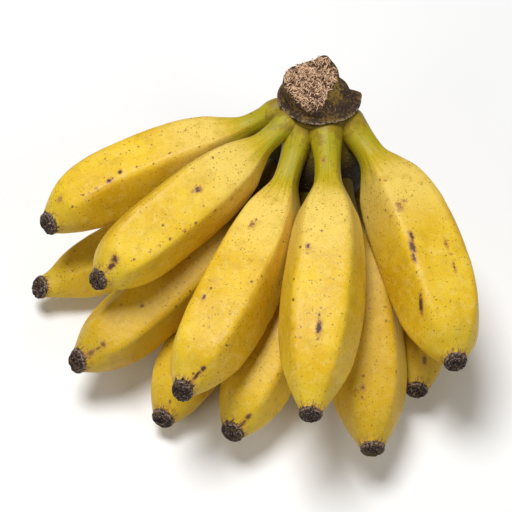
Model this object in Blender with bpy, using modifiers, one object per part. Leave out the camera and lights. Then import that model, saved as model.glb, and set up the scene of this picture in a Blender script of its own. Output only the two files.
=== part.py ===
"""A hand of small bananas: eleven fingers on one cut crown, lying down.

Run it with: blender --background --python part.py
Lengths are in metres and Z is up. The hand lies on the plane Z = 0.
"""

import math
from bisect import bisect_right
from collections import namedtuple

import bmesh
import bpy
from mathutils import Matrix, Vector

# The crown's collar: its middle, how far its axis leans back, and its radius
COLLAR_PLACE = Vector((0.0296, 0.0593, 0.0700))
COLLAR_LEAN = math.radians(13.0)
COLLAR_RADIUS = 0.0170

# Turned part of the crown, bottom to top: radius, height above the middle of the collar
CUSHION_PROFILE = (
    (0.0000, -0.0430),
    (0.0075, -0.0425),
    (0.0122, -0.0395),
    (0.0147, -0.0345),
    (0.0156, -0.0280),
    (0.0159, -0.0190),
    (0.0156, -0.0100),
    (0.0153, -0.0055),
    (0.0163, -0.0036),
    (COLLAR_RADIUS, -0.0016),
    (0.0166, 0.0000),
    (0.0154, 0.0006),
    (0.0144, 0.0002),
    (0.0120, 0.0030),
    (0.0000, 0.0035),
)
CUSHION_SIDES = 32
MERGE_DISTANCE = 0.00005

# Cut stub on top of the collar: the middle and slope of the cut, and its outline
STUB_FOOT_RADIUS = 0.0147
STUB_FOOT_HEIGHT = -0.0005
CUT_MIDDLE = Vector((-0.0035, -0.0010, 0.0081))
CUT_RISE = 0.42
STUB_SIDES = 28
WAIST_HEIGHT = 0.45
WAIST_PINCH = 0.97
# Direction round the cut in degrees from +X towards the back, radius there
CUT_OUTLINE = (
    (3, 0.0103),
    (24, 0.0115),
    (46, 0.0117),
    (61, 0.0122),
    (86, 0.0088),
    (123, 0.0092),
    (147, 0.0104),
    (178, 0.0112),
    (214, 0.0088),
    (247, 0.0090),
    (278, 0.0112),
    (305, 0.0097),
    (328, 0.0080),
    (345, 0.0094),
    (363, 0.0103),
)

# Girth of a finger along its length: share of the length, share of the largest radius
SLIM_GIRTH = (
    (0.000, 0.640),
    (0.050, 0.480),
    (0.100, 0.385),
    (0.150, 0.340),
    (0.205, 0.370),
    (0.260, 0.560),
    (0.325, 0.780),
    (0.420, 0.920),
    (0.530, 0.985),
    (0.630, 1.000),
    (0.730, 0.955),
    (0.820, 0.830),
    (0.890, 0.635),
    (0.935, 0.460),
    (0.960, 0.360),
    (0.982, 0.290),
    (1.000, 0.240),
)
BLUNT_GIRTH = SLIM_GIRTH[:7] + (
    (0.420, 0.930),
    (0.530, 0.990),
    (0.630, 1.000),
    (0.730, 0.985),
    (0.820, 0.900),
    (0.890, 0.735),
    (0.935, 0.550),
    (0.960, 0.420),
    (0.982, 0.310),
    (1.000, 0.240),
)
NECK_END = 0.205
ROOT_RADIUS = 0.007
CURVE_PULL = 0.36
RIDGES = 5
FLAT_DEPTH = 0.075
RIDGES_START, RIDGES_FULL = 0.10, 0.30
RIDGES_FADE, RIDGES_END = 0.82, 0.97
FINGER_SIDES = 20
BODY_RINGS = 20
BODY_END = 0.935
CAP_RINGS = (0.960, 0.982, 1.000)
STUMP_RINGS = 3
STUMP_LENGTH = 0.0125
LOW_STUMP_LENGTH = 0.0140
LONG_STUMP_LENGTH = 0.0155
FIT_GAP = 0.0003

Finger = namedtuple(
    "Finger", "root_yaw root_height leave tip arrive width neck bluntness ridge_turn stump"
)

# Yaws are in degrees from -Y towards +X, and pitches are up from level. Tips are
# measured from the point of the table under the collar.
FINGERS = {
    "finger_upper_1": Finger(
        -90, 0.062, (-84, -17), (-0.1099, -0.0493, 0.0480), (-50, -3),
        0.0265, 0.205, 1.2, -30, STUMP_LENGTH,
    ),
    "finger_upper_2": Finger(
        -45, 0.066, (-55, -3), (-0.0877, -0.0798, 0.0580), (-43, 3),
        0.0270, 0.205, 1.0, -52, STUMP_LENGTH,
    ),
    "finger_upper_3": Finger(
        -28, 0.061, (-22, -14), (-0.0542, -0.1232, 0.0500), (-25, 2),
        0.0295, 0.225, 0.5, -32, LONG_STUMP_LENGTH,
    ),
    "finger_upper_4": Finger(
        14, 0.0645, (4, 5), (-0.0059, -0.1343, 0.0560), (-6, 0),
        0.0300, 0.235, -0.4, 36, STUMP_LENGTH,
    ),
    "finger_upper_5": Finger(
        68, 0.065, (42, -13), (0.0495, -0.1109, 0.0502), (8, 3),
        0.0325, 0.210, 0.6, 30, STUMP_LENGTH,
    ),
    "finger_lower_1": Finger(
        -95, 0.037, (-76, -25), (-0.1177, -0.0568, 0.0147), (-66, 10),
        0.0260, 0.250, -0.4, -30, LOW_STUMP_LENGTH,
    ),
    "finger_lower_2": Finger(
        -60, 0.049, (-44, -12), (-0.0985, -0.0974, 0.0260), (-53, 3),
        0.0277, 0.270, 1.0, -50, STUMP_LENGTH,
    ),
    "finger_lower_3": Finger(
        -35, 0.036, (-30, -34), (-0.0632, -0.1168, 0.0121), (-23, 3),
        0.0262, 0.290, 1.0, 0, LOW_STUMP_LENGTH,
    ),
    "finger_lower_4": Finger(
        -18, 0.044, (-5, -20), (-0.0360, -0.1265, 0.0208), (-27, -2),
        0.0270, 0.270, 1.0, 36, LONG_STUMP_LENGTH,
    ),
    "finger_lower_5": Finger(
        34, 0.047, (17, -11), (0.0191, -0.1345, 0.0239), (2, -2),
        0.0300, 0.270, 0.2, 36, LOW_STUMP_LENGTH,
    ),
    "finger_lower_6": Finger(
        56, 0.039, (48, -46), (0.0375, -0.1055, 0.0160), (-10, 12),
        0.0265, 0.270, 0.3, 0, LOW_STUMP_LENGTH,
    ),
}

PEEL_COLOUR = (0.745, 0.480, 0.045, 1.0)
CROWN_COLOUR = (0.145, 0.085, 0.030, 1.0)


def clear_scene():
    """Remove whatever the scene holds."""
    for item in list(bpy.data.objects):
        bpy.data.objects.remove(item, do_unlink=True)


def new_collection(name):
    """Make a collection in the scene."""
    collection = bpy.data.collections.new(name)
    bpy.context.scene.collection.children.link(collection)
    return collection


def new_material(name, colour, roughness):
    """Make a plain Principled material."""
    material = bpy.data.materials.new(name)
    material.use_nodes = True
    material.diffuse_color = colour
    shader = material.node_tree.nodes["Principled BSDF"]
    shader.inputs["Base Color"].default_value = colour
    shader.inputs["Roughness"].default_value = roughness
    shader.inputs["Metallic"].default_value = 0.0
    return material


def new_object(name, bm, collection, material):
    """Turn a bmesh into an object with its normals outwards."""
    bmesh.ops.recalc_face_normals(bm, faces=bm.faces)
    mesh = bpy.data.meshes.new(name)
    bm.to_mesh(mesh)
    bm.free()
    mesh.materials.append(material)
    item = bpy.data.objects.new(name, mesh)
    collection.objects.link(item)
    return item


def read_smoothly(keys, position):
    """Read a smooth curve through (position, value) keys."""
    places = [key[0] for key in keys]
    last = len(keys) - 1
    index = min(max(bisect_right(places, position) - 1, 0), last - 1)

    def slope(at):
        """Slope of the curve at one key."""
        low, high = keys[max(at - 1, 0)], keys[min(at + 1, last)]
        return (high[1] - low[1]) / (high[0] - low[0])

    (start, low_value), (end, high_value) = keys[index], keys[index + 1]
    span = end - start
    share = min(max((position - start) / span, 0.0), 1.0)
    square, cube = share**2, share**3
    return (
        (2 * cube - 3 * square + 1) * low_value
        + (cube - 2 * square + share) * span * slope(index)
        + (3 * square - 2 * cube) * high_value
        + (cube - square) * span * slope(index + 1)
    )


def heading(yaw, pitch):
    """Unit vector for a yaw from -Y towards +X and a pitch up from level."""
    turn, rise = math.radians(yaw), math.radians(pitch)
    return Vector(
        (
            math.sin(turn) * math.cos(rise),
            -math.cos(turn) * math.cos(rise),
            math.sin(rise),
        )
    )


def centre_line(finger, samples=160):
    """Points and directions along a finger's middle, with their distances."""
    under_collar = Vector((COLLAR_PLACE.x, COLLAR_PLACE.y, 0.0))
    forward = (COLLAR_PLACE.z - finger.root_height) * math.tan(COLLAR_LEAN)
    on_axis = under_collar + Vector((0.0, -forward, finger.root_height))
    root = on_axis + heading(finger.root_yaw, 0.0) * ROOT_RADIUS
    tip = under_collar + Vector(finger.tip)
    pull = (tip - root).length * CURVE_PULL
    first_handle = root + heading(*finger.leave) * pull
    last_handle = tip - heading(*finger.arrive) * pull
    line = []
    walked = 0.0
    for number in range(samples + 1):
        along = number / samples
        back = 1.0 - along
        point = (
            root * back**3
            + first_handle * 3 * back**2 * along
            + last_handle * 3 * back * along**2
            + tip * along**3
        )
        direction = (
            (first_handle - root) * back**2
            + (last_handle - first_handle) * 2 * back * along
            + (tip - last_handle) * along**2
        ).normalized()
        if line:
            walked += (point - line[-1][1]).length
        line.append((walked, point, direction))
    return line


def read_line(line, distance):
    """Point and direction at a distance along a sampled line."""
    index = min(bisect_right([row[0] for row in line], distance), len(line) - 1)
    before, after = line[index - 1], line[index]
    share = (distance - before[0]) / (after[0] - before[0])
    return before[1].lerp(after[1], share), before[2].lerp(after[2], share).normalized()


def girth_radius(finger, share):
    """Largest radius of a finger's section at a share of its length."""
    if share < finger.neck:
        stretched = share * NECK_END / finger.neck
    else:
        stretched = NECK_END + (share - finger.neck) * (1 - NECK_END) / (1 - finger.neck)
    slim = read_smoothly(SLIM_GIRTH, stretched)
    blunt = read_smoothly(BLUNT_GIRTH, stretched)
    return (slim + (blunt - slim) * finger.bluntness) * finger.width / 2


def ridge_strength(share):
    """How five-sided the section is at a share of the length, from 0 to 1."""
    rise = (share - RIDGES_START) / (RIDGES_FULL - RIDGES_START)
    fall = (RIDGES_END - share) / (RIDGES_END - RIDGES_FADE)
    return min(max(rise, 0.0), 1.0) * min(max(fall, 0.0), 1.0)


def section(finger, line, share):
    """One ring of points round a finger."""
    point, direction = read_line(line, share * line[-1][0])
    up = (Vector((0.0, 0.0, 1.0)) - direction * direction.z).normalized()
    side = direction.cross(up)
    radius = girth_radius(finger, share)
    flatness = FLAT_DEPTH * ridge_strength(share)
    ring = []
    for number in range(FINGER_SIDES):
        turn = math.tau * number / FINGER_SIDES
        flat = (1.0 - math.cos(RIDGES * turn)) / 2
        reach = radius * (1.0 - flatness * flat)
        angle = turn + math.radians(finger.ridge_turn)
        ring.append(point + (up * math.cos(angle) + side * math.sin(angle)) * reach)
    return ring


def loft(rings):
    """Closed skin over rings that have the same number of points."""
    bm = bmesh.new()
    rows = [[bm.verts.new(point) for point in ring] for ring in rings]
    count = len(rows[0])
    for low, high in zip(rows, rows[1:]):
        for number in range(count):
            after = (number + 1) % count
            bm.faces.new((low[number], low[after], high[after], high[number]))
    bm.faces.new(rows[0])
    bm.faces.new(rows[-1])
    return bm


def lay_flat(bm):
    """Cut away what would reach below the table, and close the cut."""
    everything = bm.verts[:] + bm.edges[:] + bm.faces[:]
    bmesh.ops.bisect_plane(
        bm, geom=everything, plane_co=(0, 0, 0), plane_no=(0, 0, -1), clear_outer=True
    )
    rim = [edge for edge in bm.edges if edge.is_boundary]
    if rim:
        bmesh.ops.contextual_create(bm, geom=rim)


def build_finger(name, finger, collection, material):
    """One finger, from just past its stump to the blunt cap at its tip."""
    line = centre_line(finger)
    start = (finger.stump + FIT_GAP) / line[-1][0]
    step = (BODY_END - start) / (BODY_RINGS - 1)
    shares = [start + step * number for number in range(BODY_RINGS)]
    shares.extend(CAP_RINGS)
    bm = loft([section(finger, line, share) for share in shares])
    lay_flat(bm)
    item = new_object(name, bm, collection, material)
    for face in item.data.polygons:
        face.use_smooth = len(face.vertices) == 4
    return item


def collar_matrix():
    """Place of the crown's own axes."""
    return Matrix.Translation(COLLAR_PLACE) @ Matrix.Rotation(-COLLAR_LEAN, 4, "X")


def build_cushion(collection, material):
    """The turned body of the crown, with its collar, under a Screw modifier."""
    bm = bmesh.new()
    corners = [bm.verts.new((radius, 0.0, height)) for radius, height in CUSHION_PROFILE]
    for low, high in zip(corners, corners[1:]):
        bm.edges.new((low, high))
    crown = new_object("crown", bm, collection, material)
    crown.matrix_world = collar_matrix()
    turn = crown.modifiers.new("turn", "SCREW")
    turn.steps = CUSHION_SIDES
    turn.render_steps = CUSHION_SIDES
    turn.use_merge_vertices = True
    turn.merge_threshold = MERGE_DISTANCE
    turn.use_normal_calculate = True
    return crown


def build_stub(collection, material):
    """The cut stub that stands on the collar."""
    foot, cut = [], []
    for number in range(STUB_SIDES):
        angle = math.tau * number / STUB_SIDES
        across, back = math.cos(angle), math.sin(angle)
        foot.append(
            Vector((across * STUB_FOOT_RADIUS, back * STUB_FOOT_RADIUS, STUB_FOOT_HEIGHT))
        )
        degrees = math.degrees(angle)
        if degrees < CUT_OUTLINE[0][0]:
            degrees += 360.0
        reach = read_smoothly(CUT_OUTLINE, degrees)
        offset = Vector((across * reach, back * reach, back * reach * CUT_RISE))
        cut.append(CUT_MIDDLE + offset)
    waist = [low.lerp(high, WAIST_HEIGHT) * WAIST_PINCH for low, high in zip(foot, cut)]
    stub = new_object("stub_join", loft([foot, waist, cut]), collection, material)
    stub.matrix_world = collar_matrix()
    return stub


def build_stump(name, finger, collection, material):
    """The first stretch of a finger's stalk, which is one with the crown."""
    line = centre_line(finger)
    length = line[-1][0]
    shares = [finger.stump / length * step / STUMP_RINGS for step in range(STUMP_RINGS + 1)]
    bm = loft([section(finger, line, share) for share in shares])
    return new_object(name.replace("finger", "stump"), bm, collection, material)


def build_crown(parts, joins, material):
    """The crown: cushion, collar, stub and stumps joined in one solid."""
    crown = build_cushion(parts, material)
    pieces = [build_stub(joins, material)]
    for name, finger in FINGERS.items():
        pieces.append(build_stump(name, finger, joins, material))
    for piece in pieces:
        piece.hide_render = True
        piece.display_type = "WIRE"
        join = crown.modifiers.new(piece.name, "BOOLEAN")
        join.operation = "UNION"
        join.solver = "EXACT"
        join.object = piece
    return crown


def main():
    """Build the hand."""
    clear_scene()
    parts = new_collection("banana")
    joins = new_collection("crown_joins")
    peel = new_material("peel", PEEL_COLOUR, 0.42)
    crown_skin = new_material("crown_skin", CROWN_COLOUR, 0.75)
    build_crown(parts, joins, crown_skin)
    for name, finger in FINGERS.items():
        build_finger(name, finger, parts, peel)


main()
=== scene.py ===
"""Looks of a hand of eleven small bananas on one cut crown, lying on a pale floor.

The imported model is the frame. Each finger and the crown stand for a CAD node and keep
its place, so most numbers that shape them are those of the CAD source. Lengths are in
metres, Z is up, and the hand lies on the plane Z = 0.
"""

import logging
import math
from bisect import bisect_right
from dataclasses import dataclass, field
from enum import Enum

import bmesh
import bpy
import numpy as np
from mathutils import Matrix, Vector, noise


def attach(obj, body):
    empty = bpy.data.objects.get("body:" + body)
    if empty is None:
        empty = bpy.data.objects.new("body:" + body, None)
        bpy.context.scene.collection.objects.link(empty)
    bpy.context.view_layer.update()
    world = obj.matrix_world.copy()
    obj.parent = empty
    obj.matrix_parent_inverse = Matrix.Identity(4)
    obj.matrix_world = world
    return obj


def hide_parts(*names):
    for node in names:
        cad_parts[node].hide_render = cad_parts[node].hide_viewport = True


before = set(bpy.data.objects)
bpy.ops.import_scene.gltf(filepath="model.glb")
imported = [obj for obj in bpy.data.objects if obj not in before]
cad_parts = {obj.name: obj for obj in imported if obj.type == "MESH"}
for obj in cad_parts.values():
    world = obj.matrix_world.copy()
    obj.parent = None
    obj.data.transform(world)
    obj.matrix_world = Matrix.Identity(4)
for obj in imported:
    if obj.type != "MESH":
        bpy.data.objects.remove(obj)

LOG = logging.getLogger("hand_of_bananas")
BODY = "root"
MM_PER_METRE = 1000.0

COLLAR_PLACE = Vector((0.0296, 0.0593, 0.07))
COLLAR_LEAN = math.radians(13.0)

Array = np.ndarray
Colour = tuple[float, float, float, float]
Keys = tuple[tuple[float, float], ...]
Material = bpy.types.Material
Mesh = bpy.types.Mesh
Node = bpy.types.Node
Piece = bpy.types.Object
Socket = bpy.types.NodeSocket
Tree = bpy.types.NodeTree

# Girth of a finger along its length: share of the length, share of the largest radius
SLIM_GIRTH: Keys = (
    (0.0, 0.64), (0.05, 0.48), (0.1, 0.385), (0.15, 0.34), (0.205, 0.37), (0.26, 0.56),
    (0.325, 0.78), (0.42, 0.92), (0.53, 0.985), (0.63, 1.0), (0.73, 0.955), (0.82, 0.83),
    (0.89, 0.635), (0.935, 0.46), (0.96, 0.36), (0.982, 0.29), (1.0, 0.24),
)
BLUNT_GIRTH: Keys = SLIM_GIRTH[:7] + (
    (0.42, 0.93), (0.53, 0.99), (0.63, 1.0), (0.73, 0.985), (0.82, 0.9), (0.89, 0.735),
    (0.935, 0.55), (0.96, 0.42), (0.982, 0.31), (1.0, 0.24),
)
NECK_END = 0.205
# Fingers whose roots are lower than this belong to the back row
LOWER_ROW = 0.055


class Slot(Enum):
    """Material slots of the record."""

    PEEL = "peel"
    CROWN = "crown_skin"


class Domain(Enum):
    """Kinds of attribute that the materials read."""

    NUMBER = "FLOAT"
    VECTOR = "FLOAT_VECTOR"


def read_smoothly(keys: Keys, position: float) -> float:
    """Read a smooth curve through keys.

    Args:
        keys: Rows of position and value, in rising order.
        position: Where the curve is read.

    Returns:
        The value there.
    """
    places = [key[0] for key in keys]
    last = len(keys) - 1
    index = min(max(bisect_right(places, position) - 1, 0), last - 1)

    def slope(at: int) -> float:
        """Slope of the curve at one key."""
        low, high = keys[max(at - 1, 0)], keys[min(at + 1, last)]
        return (high[1] - low[1]) / (high[0] - low[0])

    (start, low_value), (end, high_value) = keys[index], keys[index + 1]
    span = end - start
    share = min(max((position - start) / span, 0.0), 1.0)
    square, cube = share**2, share**3
    return (
        (2 * cube - 3 * square + 1) * low_value
        + (cube - 2 * square + share) * span * slope(index)
        + (3 * square - 2 * cube) * high_value
        + (cube - square) * span * slope(index + 1)
    )


def heading(yaw: float, pitch: float) -> Vector:
    """Unit vector for a yaw from -Y towards +X and a pitch up from level, in degrees.

    Args:
        yaw: Turn from -Y towards +X.
        pitch: Rise from level.

    Returns:
        The unit vector.
    """
    turn, rise = math.radians(yaw), math.radians(pitch)
    level = math.cos(rise)
    return Vector((math.sin(turn) * level, -math.cos(turn) * level, math.sin(rise)))


def smooth_step(low: float, high: float, values: Array) -> Array:
    """Rise smoothly from 0 at low to 1 at high."""
    share = np.clip((values - low) / (high - low), 0.0, 1.0)
    return share * share * (3.0 - 2.0 * share)


def collar_matrix() -> Matrix:
    """Place of the crown's own axes."""
    return Matrix.Translation(COLLAR_PLACE) @ Matrix.Rotation(-COLLAR_LEAN, 4, "X")


def read_places(mesh: Mesh) -> Array:
    """Corner places of a mesh as rows of three.

    Args:
        mesh: The mesh.

    Returns:
        One row for each corner.
    """
    places = np.zeros(len(mesh.vertices) * 3, np.float32)
    mesh.vertices.foreach_get("co", places)
    return places.reshape(-1, 3).astype(float)


def write_places(mesh: Mesh, places: Array) -> None:
    """Move the corners of a mesh."""
    mesh.vertices.foreach_set("co", places.astype(np.float32).ravel())
    mesh.update()


def paint(mesh: Mesh, **layers: Array) -> None:
    """Store numbers or vectors for the materials.

    Args:
        mesh: The mesh that gets the values.
        layers: One row per corner, by the name that the materials read.
    """
    for name, rows in layers.items():
        domain = Domain.NUMBER if rows.ndim == 1 else Domain.VECTOR
        attribute = mesh.attributes.new(name, domain.value, "POINT")
        key = "value" if domain is Domain.NUMBER else "vector"
        attribute.data.foreach_set(key, rows.astype(np.float32).ravel())


def lumps(places: Array, size: float, seed: float) -> Array:
    """Soft random lumps, from about -1 to 1, of a size in metres."""
    shift = Vector((seed, seed * 1.7, seed * 0.6))
    return np.array([noise.noise(Vector(place) / size + shift) for place in places])


def add_object(name: str, data: bpy.types.ID) -> Piece:
    """Make an object of some data and link it to the scene.

    Args:
        name: Name of the object.
        data: Its mesh, lamp or camera.

    Returns:
        The new object.
    """
    item = bpy.data.objects.new(name, data)
    bpy.context.scene.collection.objects.link(item)
    return item


def new_piece(name: str, bm: bmesh.types.BMesh, material: Material) -> Piece:
    """Turn a bmesh into a smooth piece that rides on the body.

    Args:
        name: Name of the piece.
        bm: Its shape, which is freed.
        material: Its finish.

    Returns:
        The new object.
    """
    bmesh.ops.recalc_face_normals(bm, faces=bm.faces)
    mesh = bpy.data.meshes.new(name)
    bm.to_mesh(mesh)
    bm.free()
    mesh.materials.append(material)
    mesh.shade_smooth()
    piece = add_object(name, mesh)
    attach(piece, BODY)
    return piece


def grow_tube(sides: int, rings: int) -> bmesh.types.BMesh:
    """Straight closed tube of radius 1, one unit between rings, to be bent into shape.

    Args:
        sides: Number of sides.
        rings: Number of rings along Z.

    Returns:
        The tube, with its first and last ring filled.
    """
    bm = bmesh.new()
    bmesh.ops.create_circle(bm, cap_ends=True, segments=sides, radius=1.0)
    edges = bm.edges[:]
    for _ in range(rings - 1):
        grown = bmesh.ops.extrude_edge_only(bm, edges=edges)["geom"]
        corners = [item for item in grown if isinstance(item, bmesh.types.BMVert)]
        bmesh.ops.translate(bm, verts=corners, vec=(0.0, 0.0, 1.0))
        edges = [item for item in grown if isinstance(item, bmesh.types.BMEdge)]
        edges = [edge for edge in edges if edge.is_boundary]
    bmesh.ops.contextual_create(bm, geom=edges)
    return bm


class Net:
    """Adds nodes to one node tree and joins them."""

    def __init__(self, tree: Tree) -> None:
        """Keep the tree that the nodes go into."""
        self.tree = tree

    def add(self, kind: str, **settings: object) -> Node:
        """Add a node and set its properties.

        Args:
            kind: Blender's name for the kind of node.
            settings: Properties by name.

        Returns:
            The node.
        """
        node = self.tree.nodes.new(kind)
        for name, value in settings.items():
            setattr(node, name, value)
        return node

    def feed(self, socket: Socket, value: object) -> None:
        """Join a socket to an input, or set the input to a plain value.

        Args:
            socket: Input to feed.
            value: A socket to join, or a plain value.
        """
        if isinstance(value, Socket):
            self.tree.links.new(value, socket)
        else:
            socket.default_value = value

    def fill(self, node: Node, **values: object) -> Node:
        """Feed inputs by name, with underscores for spaces, and give the node back.

        Args:
            node: Node whose inputs are fed.
            values: Socket or plain value for each input.

        Returns:
            The same node.
        """
        for name, value in values.items():
            self.feed(node.inputs[name.replace("_", " ")], value)
        return node

    def math(self, operation: str, *values: object) -> Socket:
        """Join a Math node to up to three values and give its result.

        Args:
            operation: What the node does.
            values: Sockets or plain numbers.

        Returns:
            The result.
        """
        node = self.add("ShaderNodeMath", operation=operation)
        for socket, value in zip(node.inputs, values):
            self.feed(socket, value)
        return node.outputs[0]

    def times(self, first: object, second: object) -> Socket:
        """Product of two values."""
        return self.math("MULTIPLY", first, second)

    def ramp(
        self, value: object, low: float, high: float, start: float = 0.0, end: float = 1.0
    ) -> Socket:
        """Rise or fall smoothly from start to end while the value goes from low to high.

        Args:
            value: Socket that drives the change.
            low: Value where it begins.
            high: Value where it ends.
            start: Result up to low.
            end: Result from high on.

        Returns:
            The result.
        """
        node = self.add("ShaderNodeMapRange", interpolation_type="SMOOTHSTEP")
        for socket, item in zip(node.inputs, (value, low, high, start, end)):
            self.feed(socket, item)
        return node.outputs[0]

    def noise(
        self, vector: object, scale: float, detail: float = 2.0, roughness: float = 0.5
    ) -> Socket:
        """Join a Noise Texture and give its value.

        Args:
            vector: Place or strip that the noise follows.
            scale: Lumps to a metre of it.
            detail: Number of finer layers.
            roughness: Strength of each finer layer.

        Returns:
            The noise, about 0.5 on the whole.
        """
        node = self.add("ShaderNodeTexNoise")
        self.fill(node, Vector=vector, Scale=scale, Detail=detail, Roughness=roughness)
        return node.outputs["Fac"]

    def mix(self, factor: object, first: object, second: object) -> Socket:
        """Mix two colours.

        Args:
            factor: Share of the second colour.
            first: Colour where the factor is 0.
            second: Colour where the factor is 1.

        Returns:
            The mixed colour.
        """
        node = self.add("ShaderNodeMix", data_type="RGBA")
        for index, value in ((0, factor), (6, first), (7, second)):
            self.feed(node.inputs[index], value)
        return node.outputs[2]

    def stretch(self, vector: object, scale: tuple[float, float, float]) -> Socket:
        """Scale a vector by three numbers.

        Args:
            vector: Vector to scale.
            scale: One number for each axis.

        Returns:
            The scaled vector.
        """
        node = self.add("ShaderNodeVectorMath", operation="MULTIPLY")
        self.feed(node.inputs[0], vector)
        self.feed(node.inputs[1], scale)
        return node.outputs[0]

    def attribute(self, name: str, output: str = "Fac") -> Socket:
        """Read an attribute of the mesh."""
        return self.add("ShaderNodeAttribute", attribute_name=name).outputs[output]

    def place(self) -> Socket:
        """Object coordinates."""
        return self.add("ShaderNodeTexCoord").outputs["Object"]

    def effect(self, group: Tree, **values: object) -> Socket:
        """Place a node group, fill its inputs, and give its first output."""
        return self.fill(self.add("ShaderNodeGroup", node_tree=group), **values).outputs[0]


def new_group(name: str, **defaults: float) -> tuple[Net, Node, Node]:
    """Make a node group that takes a vector and some numbers and puts out one mask.

    Args:
        name: Name of the group.
        defaults: Default of each number.

    Returns:
        Its net, its input node and its output node.
    """
    tree = bpy.data.node_groups.new(name, "ShaderNodeTree")
    new_socket = tree.interface.new_socket
    new_socket("Vector", in_out="INPUT", socket_type="NodeSocketVector")
    for label, default in defaults.items():
        socket = new_socket(label, in_out="INPUT", socket_type="NodeSocketFloat")
        socket.default_value = default
    new_socket("Mask", in_out="OUTPUT", socket_type="NodeSocketFloat")
    net = Net(tree)
    return net, net.add("NodeGroupInput"), net.add("NodeGroupOutput")


@dataclass(frozen=True)
class Effects:
    """Node groups that more than one finish uses."""

    specks: Tree
    stain: Tree

    @staticmethod
    def build() -> "Effects":
        """Make the groups once."""
        return Effects(Effects._specks(), Effects._stain())

    @staticmethod
    def _specks() -> Tree:
        """Scattered round specks of uneven size; Share says how many cells hold one.

        Returns:
            The group.
        """
        net, given, result = new_group("Scattered specks", Scale=400.0, Size=0.2, Share=0.5)
        vector, scale, size, share = given.outputs[:4]
        cells = net.fill(net.add("ShaderNodeTexVoronoi"), Vector=vector, Scale=scale)
        split = net.add("ShaderNodeSeparateColor")
        net.feed(split.inputs[0], cells.outputs["Color"])
        chosen = net.math("LESS_THAN", split.outputs[0], share)
        reach = net.times(split.outputs[1], size)
        wide = net.math("MULTIPLY_ADD", size, 0.45, reach)
        near = net.math("DIVIDE", cells.outputs["Distance"], wide)
        spot = net.ramp(near, 0.55, 1.0, 1.0, 0.0)
        net.feed(result.inputs[0], net.times(spot, chosen))
        return net.tree

    @staticmethod
    def _stain() -> Tree:
        """Ragged stain that spreads from the collar over a given reach.

        Returns:
            The group.
        """
        net, given, result = new_group("Collar stain", Reach=0.012, Ragged=0.006)
        vector, spread, jag = given.outputs[:3]
        away = net.add("ShaderNodeVectorMath", operation="DISTANCE")
        net.feed(away.inputs[0], vector)
        away.inputs[1].default_value = COLLAR_PLACE
        rough = net.noise(vector, 260.0, 4.0, 0.6)
        shift = net.times(net.math("SUBTRACT", rough, 0.5), 3.0)
        ragged = net.math("MULTIPLY_ADD", shift, jag, away.outputs["Value"])
        beyond = net.math("SUBTRACT", ragged, 0.0165)
        part = net.math("DIVIDE", beyond, spread)
        net.feed(result.inputs[0], net.ramp(part, 0.0, 1.0, 1.0, 0.0))
        return net.tree


def new_finish(name: str) -> tuple[Material, Net, Node]:
    """Make an empty Principled material, its net and its shader.

    Args:
        name: Name of the material.

    Returns:
        The material, its net and its shader.
    """
    material = bpy.data.materials.new(name)
    material.use_nodes = True
    shader = material.node_tree.nodes["Principled BSDF"]
    return material, Net(material.node_tree), shader


def add_bump(net: Net, shader: Node, height: object, depth: float, strength: float) -> None:
    """Feed a height through a Bump node into the shader's normal.

    Args:
        net: Net of the material.
        shader: Its shader.
        height: Height of the relief, in shares of the depth.
        depth: Depth of one share, in metres.
        strength: Strength of the relief.
    """
    bump = net.add("ShaderNodeBump")
    net.fill(bump, Strength=strength, Distance=depth, Height=height)
    net.feed(shader.inputs["Normal"], bump.outputs["Normal"])


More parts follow.
